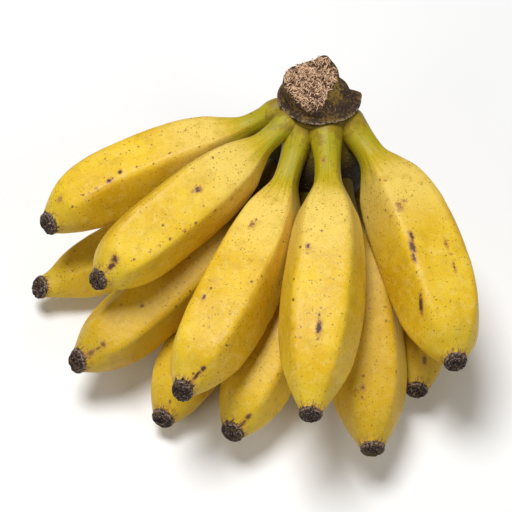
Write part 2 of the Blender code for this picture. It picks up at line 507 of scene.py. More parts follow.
@dataclass(frozen=True)
class PeelFinish:
    """Ripe yellow skin: olive stalk, brown specks, bruises and a dark dry cap."""

    bright: Colour = (0.78, 0.52, 0.024, 1.0)
    deep: Colour = (0.68, 0.408, 0.008, 1.0)
    # pale serves the random pale mottle and the painted highlight over the shoulders
    pale: Colour = (0.8, 0.59, 0.135, 1.0)
    dull: Colour = (0.5, 0.3, 0.012, 1.0)
    # Painted shade: this colour and the next are darker copies of the peel, painted over the
    # lower fingers and darkest at their roots, where the upper row shades them
    shaded: Colour = (0.36, 0.205, 0.006, 1.0)
    under: Colour = (0.07, 0.045, 0.007, 1.0)
    stalk: Colour = (0.42, 0.33, 0.008, 1.0)
    green: Colour = (0.22, 0.275, 0.006, 1.0)
    ridge: Colour = (0.48, 0.24, 0.03, 1.0)
    speck: Colour = (0.17, 0.08, 0.016, 1.0)
    freckle: Colour = (0.33, 0.19, 0.02, 1.0)
    bruise: Colour = (0.075, 0.028, 0.018, 1.0)
    halo: Colour = (0.4, 0.185, 0.05, 1.0)
    stain: Colour = (0.2, 0.1, 0.014, 1.0)
    cap: Colour = (0.02, 0.01, 0.007, 1.0)
    cap_olive: Colour = (0.095, 0.062, 0.018, 1.0)
    # cap_light is both the cap's pale ridges and a painted highlight round its rim
    cap_light: Colour = (0.4, 0.27, 0.2, 1.0)
    warp: float = 0.0011

    def build(self, effects: Effects) -> Material:
        """Make the material.

        Args:
            effects: The shared node groups.

        Returns:
            The material.
        """
        material, net, shader = new_finish("peel")
        place = net.place()
        strip = net.attribute("strip", "Vector")
        along = net.attribute("along")
        ridge = net.attribute("ridge")
        patch = net.noise(place, 46.0, 3.0, 0.55)
        streak = net.noise(net.stretch(strip, (9.0, 9.0, 45.0)), 1.0, 3.0, 0.55)
        fine_streak = net.noise(net.stretch(strip, (26.0, 26.0, 60.0)), 1.0, 2.0)

        colour = net.mix(net.ramp(patch, 0.32, 0.66), self.deep, self.bright)
        # Pale band over the shoulders, all round the finger: partly the skin's paler tone there,
        # partly a painted highlight
        pale_shoulder_sheen = net.ramp(along, 0.36, 0.58, 0.75, 0.0)
        pale_shoulder_sheen = net.times(net.ramp(along, 0.2, 0.3), pale_shoulder_sheen)
        colour = net.mix(pale_shoulder_sheen, colour, self.pale)
        mottle = net.noise(place, 330.0, 4.0, 0.65)
        colour = net.mix(net.ramp(mottle, 0.48, 0.64, 0.0, 0.38), colour, self.pale)
        cloud = net.noise(place, 170.0, 4.0, 0.65)
        colour = net.mix(net.ramp(cloud, 0.48, 0.7, 0.0, 0.4), colour, self.dull)
        colour = self._stalk(net, colour, along, streak, fine_streak)
        on_ridge = net.math("POWER", ridge, 5.0)
        worn = net.times(on_ridge, net.ramp(streak, 0.4, 0.66, 0.05, 0.55))
        colour = net.mix(worn, colour, self.ridge)
        swirl = net.fill(net.add("ShaderNodeTexNoise"), Vector=place, Scale=900.0)
        warped = net.add("ShaderNodeVectorMath", operation="MULTIPLY_ADD")
        values = (swirl.outputs["Color"], (self.warp,) * 3, place)
        for socket, value in zip(warped.inputs, values):
            net.feed(socket, value)
        colour = self._specks(net, effects, colour, warped.outputs[0], on_ridge)
        colour, dark = self._bruises(net, colour, place)
        stain = net.effect(effects.stain, Vector=place, Reach=0.008, Ragged=0.01)
        colour = net.mix(net.times(stain, 0.6), colour, self.stain)
        # Painted shade: mix in the darker copies of the peel, darkest at the roots of the lower
        # fingers
        under = net.attribute("under")
        colour = net.mix(net.ramp(under, 0.0, 0.55, 0.0, 0.75), colour, self.shaded)
        colour = net.mix(net.ramp(under, 0.45, 0.95, 0.0, 0.85), colour, self.under)
        radial = net.noise(net.stretch(strip, (13.0, 13.0, 300.0)), 1.0, 2.0, 0.5)
        colour, cap = self._cap(net, colour, place, radial)

        rough = net.ramp(patch, 0.3, 0.7, 0.38, 0.5)
        for mask, least in ((dark, 0.55), (cap, 0.72), (under, 0.95)):
            rough = net.math("MAXIMUM", rough, net.times(mask, least))
        net.fill(shader, Base_Color=colour, Roughness=rough, Specular_IOR_Level=0.26)
        lines = net.times(fine_streak, net.ramp(along, 0.18, 0.34, 1.0, 0.12))
        self._relief(net, shader, place, lines, cap)
        return material

    def _stalk(
        self, net: Net, colour: object, along: object, streak: object, fine_streak: object
    ) -> Socket:
        """Olive skin with green streaks on the stalk, and a trace of it near the tip.

        Args:
            net: Net of the material.
            colour: Colour of the skin so far.
            along: Share of the finger's length.
            streak: Broad lengthwise streaks.
            fine_streak: Fine lengthwise streaks.

        Returns:
            The new colour.
        """
        shifted = net.math("MULTIPLY_ADD", streak, -0.16, along)
        stalk = net.ramp(shifted, 0.06, 0.24, 1.0, 0.0)
        green = net.times(stalk, net.ramp(fine_streak, 0.46, 0.68, 0.0, 0.8))
        colour = net.mix(stalk, colour, self.stalk)
        colour = net.mix(green, colour, self.green)
        tip = net.ramp(along, 0.84, 0.97, 0.0, 0.35)
        return net.mix(tip, colour, self.stalk)

    def _specks(
        self, net: Net, effects: Effects, colour: object, place: object, on_ridge: object
    ) -> Socket:
        """Fine specks all over, and larger ones that gather along the ridges.

        Args:
            net: Net of the material.
            effects: The shared node groups.
            colour: Colour of the skin so far.
            place: Where each point is on the piece.
            on_ridge: How near the crest of a ridge a point is.

        Returns:
            The new colour.
        """
        crowd = net.ramp(net.noise(place, 70.0, 2.0), 0.36, 0.62, 0.06, 0.46)
        gathered = net.math("MULTIPLY_ADD", on_ridge, 0.55, 0.045)
        for scale, size, share, strength, tone in (
            (1350.0, 0.36, 0.75, 0.34, self.freckle),
            (950.0, 0.32, crowd, 0.62, self.speck),
            (330.0, 0.2, gathered, 0.85, self.speck),
        ):
            specks = net.effect(effects.specks, Vector=place, Scale=scale, Size=size, Share=share)
            colour = net.mix(net.times(specks, strength), colour, tone)
        return colour

    def _bruises(self, net: Net, colour: object, place: object) -> tuple[Socket, Socket]:
        """Painted marks with ragged edges and a reddish halo.

        Args:
            net: Net of the material.
            colour: Colour of the skin so far.
            place: Where each point is on the piece.

        Returns:
            The new colour, and the mask of the dark middles.
        """
        mark = net.attribute("mark")
        breakup = net.noise(place, 1000.0, 4.0, 0.65)
        ragged = net.math("MULTIPLY_ADD", breakup, 1.9, net.times(mark, 1.5))
        present = net.ramp(mark, 0.02, 0.15)
        halo = net.times(net.ramp(ragged, 1.1, 1.8, 0.0, 0.72), present)
        dark = net.times(net.ramp(ragged, 1.72, 2.2, 0.0, 0.95), present)
        colour = net.mix(halo, colour, self.halo)
        return net.mix(dark, colour, self.bruise), dark

    def _cap(
        self, net: Net, colour: object, place: object, radial: object
    ) -> tuple[Socket, Socket]:
        """Dry dark end with pale ridges, and specks that fray into the skin.

        Args:
            net: Net of the material.
            colour: Colour of the skin so far.
            place: Where each point is on the piece.
            radial: Streaks that run towards the tip.

        Returns:
            The new colour, and the mask of the cap.
        """
        edge = net.attribute("cap")
        breakup = net.noise(place, 800.0, 3.0, 0.6)
        torn = net.math("ADD", breakup, net.times(radial, 1.4))
        frayed = net.math("MULTIPLY_ADD", net.math("SUBTRACT", torn, 1.2), 0.75, edge)
        cap = net.ramp(frayed, 0.44, 0.56)
        grain = net.noise(place, 1300.0, 3.0, 0.6)
        coarse = net.noise(place, 480.0, 2.0, 0.5)
        dark = net.mix(net.ramp(coarse, 0.54, 0.66, 0.0, 0.8), self.cap, self.cap_olive)
        crease = net.math("ABSOLUTE", net.math("SUBTRACT", coarse, 0.5))
        light = net.ramp(crease, 0.01, 0.035, 0.7, 0.0)
        light = net.times(light, net.ramp(grain, 0.42, 0.56))
        light = net.math("MAXIMUM", light, net.ramp(grain, 0.64, 0.7, 0.0, 0.5))
        # Painted highlight: a pale ring round the rim of the cap
        rim = net.times(net.attribute("cap_rim"), net.ramp(grain, 0.44, 0.54))
        light = net.math("MAXIMUM", light, net.times(rim, 0.8))
        dry = net.mix(light, dark, self.cap_light)
        fray = net.times(net.attribute("fringe"), net.ramp(breakup, 0.4, 0.58))
        colour = net.mix(net.times(fray, 0.6), colour, self.halo)
        fringe = net.times(fray, net.ramp(radial, 0.48, 0.6, 0.0, 0.85))
        colour = net.mix(fringe, colour, self.bruise)
        return net.mix(cap, colour, dry), cap

    def _relief(self, net: Net, shader: Node, place: object, streak: object, cap: object) -> None:
        """Faint pores and lengthwise lines, coarse on the cap.

        Args:
            net: Net of the material.
            shader: Shader of the material.
            place: Where each point is on the piece.
            streak: Lengthwise lines.
            cap: Mask of the dry cap.
        """
        pores = net.noise(place, 1100.0, 3.0, 0.6)
        soft = net.noise(place, 180.0, 2.0)
        lines = net.math("MULTIPLY_ADD", streak, 0.6, net.times(pores, 0.45))
        body = net.math("MULTIPLY_ADD", soft, 0.9, lines)
        crust = net.noise(place, 1100.0, 5.0, 0.7)
        height = net.math("MULTIPLY_ADD", net.times(crust, cap), 2.2, body)
        add_bump(net, shader, height, 0.00035, 0.55)


@dataclass(frozen=True)
class CrownFinish:
    """Dark bark of the crown, and the tan torn face of the cut."""

    bark: Colour = (0.044, 0.024, 0.014, 1.0)
    olive: Colour = (0.125, 0.074, 0.018, 1.0)
    yellow: Colour = (0.27, 0.165, 0.028, 1.0)
    neck: Colour = (0.3, 0.21, 0.01, 1.0)
    # Painted shade: near-black olive for the shaded gaps between the stalks below the collar
    hollow: Colour = (0.034, 0.022, 0.006, 1.0)
    lip: Colour = (0.46, 0.33, 0.23, 1.0)
    pith: Colour = (0.26, 0.135, 0.07, 1.0)
    gap: Colour = (0.045, 0.022, 0.012, 1.0)

    def build(self, effects: Effects) -> Material:
        """Make the material.

        Args:
            effects: The shared node groups.

        Returns:
            The material.
        """
        material, net, shader = new_finish("crown_skin")
        place = net.place()
        broad = net.noise(place, 190.0, 3.0, 0.6)
        grain = net.noise(place, 900.0, 4.0, 0.65)
        rough = net.math("MULTIPLY_ADD", grain, 0.8, net.times(broad, 0.6))
        colour = net.mix(net.ramp(rough, 0.68, 0.78), self.bark, self.olive)
        low = net.attribute("below")
        skin = net.mix(net.ramp(broad, 0.45, 0.7), self.neck, self.yellow)
        # Painted shade where the fingers shade the body below the collar
        skin = net.mix(net.attribute("gloom"), skin, self.hollow)
        colour = net.mix(low, colour, skin)
        stain = net.effect(effects.stain, Vector=place, Reach=0.01, Ragged=0.008)
        scorched = net.times(net.times(stain, low), 0.35)
        colour = net.mix(scorched, colour, self.bark)
        smear = net.times(net.attribute("smear"), net.ramp(broad, 0.44, 0.56))
        smear = net.times(smear, net.ramp(grain, 0.38, 0.56, 0.1, 0.9))
        colour = net.mix(smear, colour, self.yellow)
        flecks = net.effect(effects.specks, Vector=place, Scale=1500.0, Size=0.34, Share=0.3)
        flecks = net.times(flecks, net.ramp(grain, 0.44, 0.56))
        colour = net.mix(net.times(flecks, 0.55), colour, self.lip)
        edge = net.times(net.attribute("lip"), net.ramp(grain, 0.44, 0.56, 0.0, 0.9))
        colour = net.mix(edge, colour, self.lip)
        face = net.ramp(net.attribute("cut"), 0.35, 0.65)
        pith = net.mix(net.ramp(grain, 0.42, 0.62), self.gap, self.pith)
        colour = net.mix(face, colour, pith)
        rough = net.ramp(broad, 0.3, 0.7, 0.62, 0.88)
        net.fill(shader, Base_Color=colour, Roughness=rough, Specular_IOR_Level=0.25)
        height = net.math("MULTIPLY_ADD", broad, 0.8, grain)
        add_bump(net, shader, height, 0.001, 1.0)
        return material


@dataclass(frozen=True)
class FibreFinish:
    """Pale dry strands of the cut face."""

    pale: Colour = (0.81, 0.55, 0.35, 1.0)
    brown: Colour = (0.15, 0.066, 0.032, 1.0)

    def build(self) -> Material:
        """Make the material.

        Returns:
            The material.
        """
        material, net, shader = new_finish("cut_fibre")
        place = net.place()
        patch = net.noise(place, 420.0, 3.0, 0.6)
        shade = net.attribute("shade")
        tone = net.math("MULTIPLY_ADD", shade, 0.6, net.times(patch, 0.6))
        colour = net.mix(net.ramp(tone, 0.3, 0.78), self.brown, self.pale)
        rough = net.ramp(patch, 0.3, 0.7, 0.6, 0.8)
        net.fill(shader, Base_Color=colour, Roughness=rough, Specular_IOR_Level=0.25)
        add_bump(net, shader, net.noise(place, 2600.0, 2.0), 0.0002, 0.5)
        return material


@dataclass(frozen=True)
class Mark:
    """A bruise or scar: its place on a finger, its half sizes in millimetres, its strength."""

    share: float
    angle: float
    length: float
    width: float
    strength: float = 1.0
    slant: float = 0.0


@dataclass
class Finger:
    """One banana, from inside the crown to the dry cap at its tip.

    Yaws are in degrees from -Y towards +X, and pitches are up from level. The tip is
    measured from the point of the floor below the collar.
    """

    name: str
    root_yaw: float
    root_height: float
    leave: tuple[float, float]
    tip: tuple[float, float, float]
    arrive: tuple[float, float]
    width: float
    neck: float
    bluntness: float
    ridge_turn: float
    seed: int
    cap_tilt: float
    marks: tuple[Mark, ...] = ()
    start: float = 0.002
    root_radius: float = 0.007
    taper: float = 0.035
    tip_pinch: float = 0.0
    # Least amount of painted shade, a darker copy of the peel, over the whole finger
    shade: float = 0.0
    curve_pull: float = 0.36
    ridges: int = 5
    ridge_sharpness: float = 14.0
    facet_spread: float = 0.03
    mean_shape: float = 1.062
    lump_height: float = 0.00022
    cap_length: float = 0.0029
    cap_radius: float = 0.0042
    root_thickness: float = 0.45
    crust_size: float = 0.0022
    crust_depth: float = 0.00085
    crust_width: float = 0.00045
    fringe_length: float = 0.0034
    sides: int = 130
    body_rings: int = 240
    line: Array = field(init=False, repr=False)

    # Dry cap: distance before the tip, share of the cap's radius
    CAP_PROFILE = (
        (0.0028, 0.985), (0.0025, 0.975), (0.0022, 1.0), (0.0019, 0.99), (0.0016, 0.96),
        (0.0013, 0.92), (0.001, 0.87), (0.0008, 0.82), (0.0006, 0.765), (0.0005, 0.71),
        (0.0006, 0.65), (0.0008, 0.6), (0.0008, 0.54), (0.0006, 0.48), (0.0006, 0.42),
        (0.0009, 0.36), (0.0014, 0.29), (0.0015, 0.22), (0.0011, 0.14), (0.0009, 0.07),
    )

    def __post_init__(self) -> None:
        """Work out the middle line: rows of distance, point and direction."""
        under_collar = Vector((COLLAR_PLACE.x, COLLAR_PLACE.y, 0.0))
        forward = (COLLAR_PLACE.z - self.root_height) * math.tan(COLLAR_LEAN)
        root = under_collar + Vector((0.0, -forward, self.root_height))
        root = root + heading(self.root_yaw, 0.0) * self.root_radius
        tip = under_collar + Vector(self.tip)
        pull = (tip - root).length * self.curve_pull
        handles = (root + heading(*self.leave) * pull, tip - heading(*self.arrive) * pull)
        along = np.linspace(0.0, 1.0, 401)[:, None]
        back = 1.0 - along
        first, last = (np.array(handle) for handle in handles)
        start, end = np.array(root), np.array(tip)
        points = (
            start * back**3
            + first * 3 * back**2 * along
            + last * 3 * back * along**2
            + end * along**3
        )
        directions = (
            (first - start) * back**2
            + (last - first) * 2 * back * along
            + (end - last) * along**2
        )
        directions /= np.linalg.norm(directions, axis=1, keepdims=True)
        steps = np.linalg.norm(np.diff(points, axis=0), axis=1)
        walked = np.concatenate(([0.0], np.cumsum(steps)))
        self.line = np.column_stack((walked, points, directions))

    @property
    def length(self) -> float:
        """Length of the middle line."""
        return float(self.line[-1, 0])

    def stretched(self, share: Array) -> Array:
        """Share of the length with the end of the neck brought to its usual place."""
        beyond = NECK_END + (share - self.neck) * (1 - NECK_END) / (1 - self.neck)
        return np.where(share < self.neck, share * NECK_END / self.neck, beyond)

    def girth(self, share: float) -> float:
        """Largest radius of the section at a share of the length.

        Args:
            share: Share of the finger's length.

        Returns:
            The radius.
        """
        place = float(self.stretched(share))
        slim = read_smoothly(SLIM_GIRTH, place)
        blunt = read_smoothly(BLUNT_GIRTH, place)
        return (slim + (blunt - slim) * self.bluntness) * self.width / 2

    def outline(self, angles: Array) -> Array:
        """Rounded uneven polygon of the section, about 1, at each angle.

        Args:
            angles: Directions round the finger.

        Returns:
            The reach in each direction.
        """
        draw = np.random.default_rng(self.seed)
        step = math.tau / self.ridges
        facets = math.radians(self.ridge_turn) + step * (np.arange(self.ridges) + 0.5)
        facets += draw.uniform(-0.06, 0.06, self.ridges)
        reach = 1.0 + draw.uniform(-self.facet_spread, self.facet_spread, self.ridges)
        near = np.cos(angles[:, None] - facets[None, :]) / reach[None, :]
        total = (np.clip(near, 0.0, None) ** self.ridge_sharpness).sum(axis=1)
        shape = total ** (-1.0 / self.ridge_sharpness)
        return shape / self.mean_shape

    def rows(self) -> Array:
        """Distance, radius and cap share of each ring.

        Returns:
            One row for each ring, from the crown to the tip.
        """
        body_end = self.length - self.cap_length
        distances = np.linspace(self.start, body_end, self.body_rings)
        rows = []
        for walk in distances:
            share = walk / self.length
            radius = self.girth(share)
            grown = float(smooth_step(0.0, self.taper, share))
            radius *= self.root_thickness + (1.0 - self.root_thickness) * grown
            if share > 0.9:
                radius = max(radius, self.cap_radius)
            radius *= 1.0 - self.tip_pinch * float(smooth_step(0.92, 0.975, share))
            rows.append((walk, radius, 0.0))
        for before, share in self.CAP_PROFILE:
            rows.append((self.length - before, radius * share, share))
        return np.array(rows)

    def build(self, material: Material) -> Piece:
        """Make the finger and hide its CAD node.

        Args:
            material: The peel.

        Returns:
            The piece.
        """
        rows = self.rows()
        bm = grow_tube(self.sides, len(rows))
        piece = new_piece(f"peel_{self.name}", bm, material)
        self._shape(piece.data, rows)
        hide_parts(self.name)
        return piece

    def _shape(self, mesh: Mesh, rows: Array) -> None:
        """Bend the straight tube onto the middle line and paint its attributes.

        Args:
            mesh: The straight tube.
            rows: Distance, radius and cap share of each ring.
        """
        straight = read_places(mesh)
        ring = np.clip(np.rint(straight[:, 2]).astype(int), 0, len(rows) - 1)
        angles = np.arctan2(straight[:, 1], straight[:, 0])
        walk, radius, cap = rows[ring, 0], rows[ring, 1], rows[ring, 2]
        share = walk / self.length
        columns = [np.interp(walk, self.line[:, 0], column) for column in self.line.T[1:]]
        middle, ahead = np.column_stack(columns[:3]), np.column_stack(columns[3:])
        ahead /= np.linalg.norm(ahead, axis=1, keepdims=True)
        up = np.array((0.0, 0.0, 1.0)) - ahead * ahead[:, 2:]
        up /= np.linalg.norm(up, axis=1, keepdims=True)
        side = np.cross(ahead, up)

        shape = self.outline(angles)
        rise = np.clip((share - 0.1) / 0.2, 0.0, 1.0)
        fall = np.clip((0.97 - share) / 0.15, 0.0, 1.0)
        strength = rise * fall
        reach = radius * (1.0 + strength * (shape - 1.0))
        outward = up * np.cos(angles)[:, None] + side * np.sin(angles)[:, None]
        places = middle + outward * reach[:, None]

        bump = lumps(places, 0.016, self.seed) + 0.5 * lumps(places, 0.006, self.seed + 3)
        ridged = (shape - shape.min()) / (shape.max() - shape.min())
        places += outward * (self.lump_height * bump * (cap == 0.0))[:, None]
        crust = lumps(places, self.crust_size, self.seed + 9) * (cap > 0.0)
        places -= ahead * (self.crust_depth * np.abs(crust))[:, None]
        places += outward * (self.crust_width * crust * (cap > 0.7))[:, None]

        tip_radius = rows[self.body_rings - 1, 1]
        lean = math.tan(math.radians(self.cap_tilt)) * smooth_step(0.86, 0.985, share)
        places -= ahead * (lean * (tip_radius + reach * np.cos(angles)))[:, None]
        places[:, 2] = np.maximum(places[:, 2], 0.0)
        write_places(mesh, places)
        self._paint(mesh, share, angles, reach, ridged * strength, cap)

    def _paint(
        self, mesh: Mesh, share: Array, angles: Array, reach: Array, ridge: Array, cap: Array
    ) -> None:
        """Write the attributes that the peel's finish reads.

        Args:
            mesh: The finished mesh.
            share: Share of the length at each corner.
            angles: Direction of each corner from the middle line.
            reach: Distance of each corner from the middle line.
            ridge: How near the crest of a ridge each corner is.
            cap: Share of the cap's radius, or 0 on the skin.
        """
        walk = share * self.length
        left = self.length - self.cap_length - walk
        edge = 1.0 - smooth_step(0.0, self.crust_size, left)
        fringe = 1.0 - smooth_step(0.0, self.fringe_length, left)
        # Painted shade: lower-row fingers darken towards their roots, where the upper row shades
        # them; shade sets a least amount over the whole finger
        deep = (1.0 - smooth_step(0.16, 0.5, share)) * (self.root_height < LOWER_ROW)
        paint(
            mesh,
            along=self.stretched(share),
            ridge=ridge,
            strip=np.column_stack((np.cos(angles), np.sin(angles), walk + self.seed * 0.37)),
            cap=np.where(cap > 0.0, 1.0, 0.45 * edge),
            fringe=fringe * (cap == 0.0),
            # Painted highlight ring round the rim of the cap
            cap_rim=np.exp(-(((cap - 0.965) / 0.03) ** 2)) * (cap > 0.0),
            under=np.maximum(deep, self.shade),
            mark=self._marks(walk, angles, reach),
        )

    def _marks(self, walk: Array, angles: Array, reach: Array) -> Array:
        """Strength of the painted marks at each corner.

        Args:
            walk: Distance along the middle line.
            angles: Direction of each corner from the middle line.
            reach: Distance of each corner from the middle line.

        Returns:
            One strength for each corner.
        """
        total = np.zeros(len(walk))
        for mark in self.marks:
            turn = angles - math.radians(mark.angle)
            turn = (turn + math.pi) % math.tau - math.pi
            ahead = (walk - mark.share * self.length) * MM_PER_METRE
            across = turn * np.maximum(reach, 0.004) * MM_PER_METRE
            slant = math.radians(mark.slant)
            long = ahead * math.cos(slant) + across * math.sin(slant)
            wide = across * math.cos(slant) - ahead * math.sin(slant)
            far = (long / mark.length) ** 2 + (wide / mark.width) ** 2
            total = np.maximum(total, mark.strength * np.exp(-far))
        return total


# Every banana of the hand, with the marks that show on it
FINGERS = (
    Finger(
        "finger_upper_1", -94, 0.067, (-70, -32), (-0.1099, -0.0493, 0.048),
        (-46, -7), 0.0265, 0.205, 1.2, -30, 11, 20,
        (
            Mark(0.68, -20, 1.1, 0.9, 1.15), Mark(0.73, -25, 1.3, 0.9, 1.2),
            Mark(0.715, -24, 0.6, 0.5), Mark(0.58, 12, 0.6, 0.5), Mark(0.49, -24, 0.7, 0.5),
            Mark(0.91, 5, 2.4, 1.8, 0.62), Mark(0.4, 12, 0.9, 0.6, 0.8),
            Mark(0.83, -24, 0.7, 0.5), Mark(0.535, 6, 0.5, 0.5, 0.9),
            Mark(0.62, -24, 0.6, 0.5, 0.9), Mark(0.78, -26, 0.6, 0.5, 0.9),
        ),
        root_radius=0.01,
        taper=0.1,
    ),
    Finger(
        "finger_upper_2", -60, 0.067, (-45, -5), (-0.0877, -0.0798, 0.058),
        (-43, 3), 0.027, 0.205, 1.0, -52, 12, 20,
        (
            Mark(0.51, -15, 2.0, 1.5, 0.95), Mark(0.53, -11, 0.9, 0.5, 0.9),
            Mark(0.912, -14, 3.0, 2.1, 0.95, -20), Mark(0.94, -20, 2.4, 1.3, 1.05),
            Mark(0.705, -48, 0.8, 0.6), Mark(0.645, -53, 0.9, 0.6), Mark(0.595, -54, 0.7, 0.6),
            Mark(0.51, -60, 0.8, 0.5), Mark(0.75, -47, 0.6, 0.5, 0.9),
            Mark(0.79, -45, 0.7, 0.5, 0.9), Mark(0.85, -40, 0.7, 0.5, 0.9),
            Mark(0.433, -69, 0.7, 0.5, 0.9),
        ),
        root_radius=0.008,
        taper=0.09,
        tip_pinch=0.14,
    ),
    Finger(
        "finger_upper_3", -50, 0.065, (-14, -22), (-0.0542, -0.1232, 0.05),
        (-25, 2), 0.0295, 0.225, 0.5, -32, 13, 24,
        (
            Mark(0.425, 15, 2.4, 1.2, 0.78), Mark(0.405, 12, 0.9, 0.5, 0.8),
            Mark(0.68, 24, 0.8, 0.6), Mark(0.715, 27, 1.7, 0.8, 1), Mark(0.77, 6, 0.6, 0.5, 0.9),
            Mark(0.925, -33, 1.6, 1.1, 1.1), Mark(0.952, -32, 3.2, 0.8, 1.05),
            Mark(0.98, -30, 2.0, 1.0, 1),
        ),
        root_radius=0.008,
        tip_pinch=0.12,
    ),
    Finger(
        "finger_upper_4", 14, 0.0645, (4, 5), (-0.0059, -0.1343, 0.056),
        (-6, 0), 0.03, 0.235, -0.4, 36, 14, 6,
        (
            Mark(0.5, 27, 1.5, 0.9, 0.95), Mark(0.522, 27, 0.5, 0.5, 0.9),
            Mark(0.75, 0, 3.0, 1.2, 1.2), Mark(0.711, 2, 0.9, 0.6, 1), Mark(0.69, 0, 0.5, 0.5),
            Mark(0.785, 0, 0.8, 0.6, 1), Mark(0.753, 27, 0.6, 0.5, 0.9),
            Mark(0.785, 27, 0.6, 0.5, 0.9), Mark(0.178, 20, 1.7, 1.0, 0.72),
            Mark(0.447, 9, 0.6, 0.5, 0.9), Mark(0.6, -14, 0.5, 0.5, 0.85),
        ),
    ),
    Finger(
        "finger_upper_5", 68, 0.065, (42, -13), (0.0495, -0.1109, 0.0502),
        (8, 3), 0.0325, 0.21, 0.6, 30, 15, 12,
        (
            Mark(0.445, 21, 3.0, 2.0, 0.7), Mark(0.43, 12, 1.4, 1.0, 0.7),
            Mark(0.562, 21, 2.8, 0.9, 1.1), Mark(0.6, 24, 3.6, 1.1, 1.25),
            Mark(0.642, 27, 2.8, 0.9, 1.1), Mark(0.8, 40, 4.2, 1.2, 1.2, 27),
            Mark(0.775, 35, 0.8, 0.6, 1), Mark(0.62, -20, 2.8, 0.7, 0.85),
            Mark(0.655, -22, 0.9, 0.6, 0.8), Mark(0.705, -21, 3.2, 0.7, 0.8),
            Mark(0.46, 36, 0.7, 0.6), Mark(0.5, 33, 0.6, 0.5, 0.9), Mark(0.4, 33, 0.6, 0.5, 0.9),
            Mark(0.33, 24, 0.7, 0.5, 0.85),
        ),
        taper=0.07,
        tip_pinch=0.16,
        shade=0.1,
    ),
    Finger(
        "finger_lower_1", -95, 0.037, (-76, -25), (-0.1177, -0.058, 0.0147),
        (-66, 10), 0.026, 0.25, -0.4, -30, 16, 22,
        (Mark(0.915, -18, 0.8, 0.6, 0.9), Mark(0.86, -18, 0.6, 0.5, 0.85)),
        tip_pinch=-0.1,
        shade=0.12,
    ),
    Finger(
        "finger_lower_2", -60, 0.049, (-44, -12), (-0.0985, -0.0984, 0.026),
        (-53, 3), 0.0277, 0.27, 1.0, -50, 17, 24,
        (
            Mark(0.9, -26, 2.0, 1.3, 1), Mark(0.93, -27, 2.4, 0.8, 0.9),
            Mark(0.96, -27, 2.4, 1.4, 0.95), Mark(0.725, -15, 1.5, 1.0, 0.85),
            Mark(0.77, 10, 0.7, 0.5, 0.85),
        ),
        shade=0.24,
    ),
    Finger(
        "finger_lower_3", -35, 0.036, (-30, -34), (-0.0632, -0.1168, 0.0121),
        (-23, 3), 0.0262, 0.29, 1.0, 0, 18, 12,
        (Mark(0.95, -9, 0.9, 0.7, 0.9),),
        shade=0.24,
    ),
    Finger(
        "finger_lower_4", -18, 0.044, (-5, -20), (-0.036, -0.1265, 0.0208),
        (-27, -2), 0.027, 0.27, 1.0, 36, 19, 14,
        (
            Mark(0.938, -33, 1.8, 1.2, 1), Mark(0.962, -33, 2.0, 0.9, 0.9),
            Mark(0.812, -15, 0.6, 0.5, 0.85),
        ),
        shade=0.14,
    ),
    Finger(
        "finger_lower_5", 34, 0.047, (17, -11), (0.0191, -0.1345, 0.0239),
        (2, -2), 0.03, 0.27, 0.2, 36, 20, 8,
        (
            Mark(0.815, 15, 1.7, 1.2, 0.85), Mark(0.845, 18, 0.8, 0.6, 0.9),
            Mark(0.822, 26, 0.6, 0.5, 0.85),
        ),
        shade=0.26,
    ),
    Finger(
        "finger_lower_6", 56, 0.039, (48, -46), (0.0375, -0.1055, 0.016),
        (-10, 12), 0.0265, 0.27, 0.3, 0, 21, 0,
        (Mark(0.9, -15, 2.0, 1.1, 1.15),),
        shade=0.3,
    ),
)


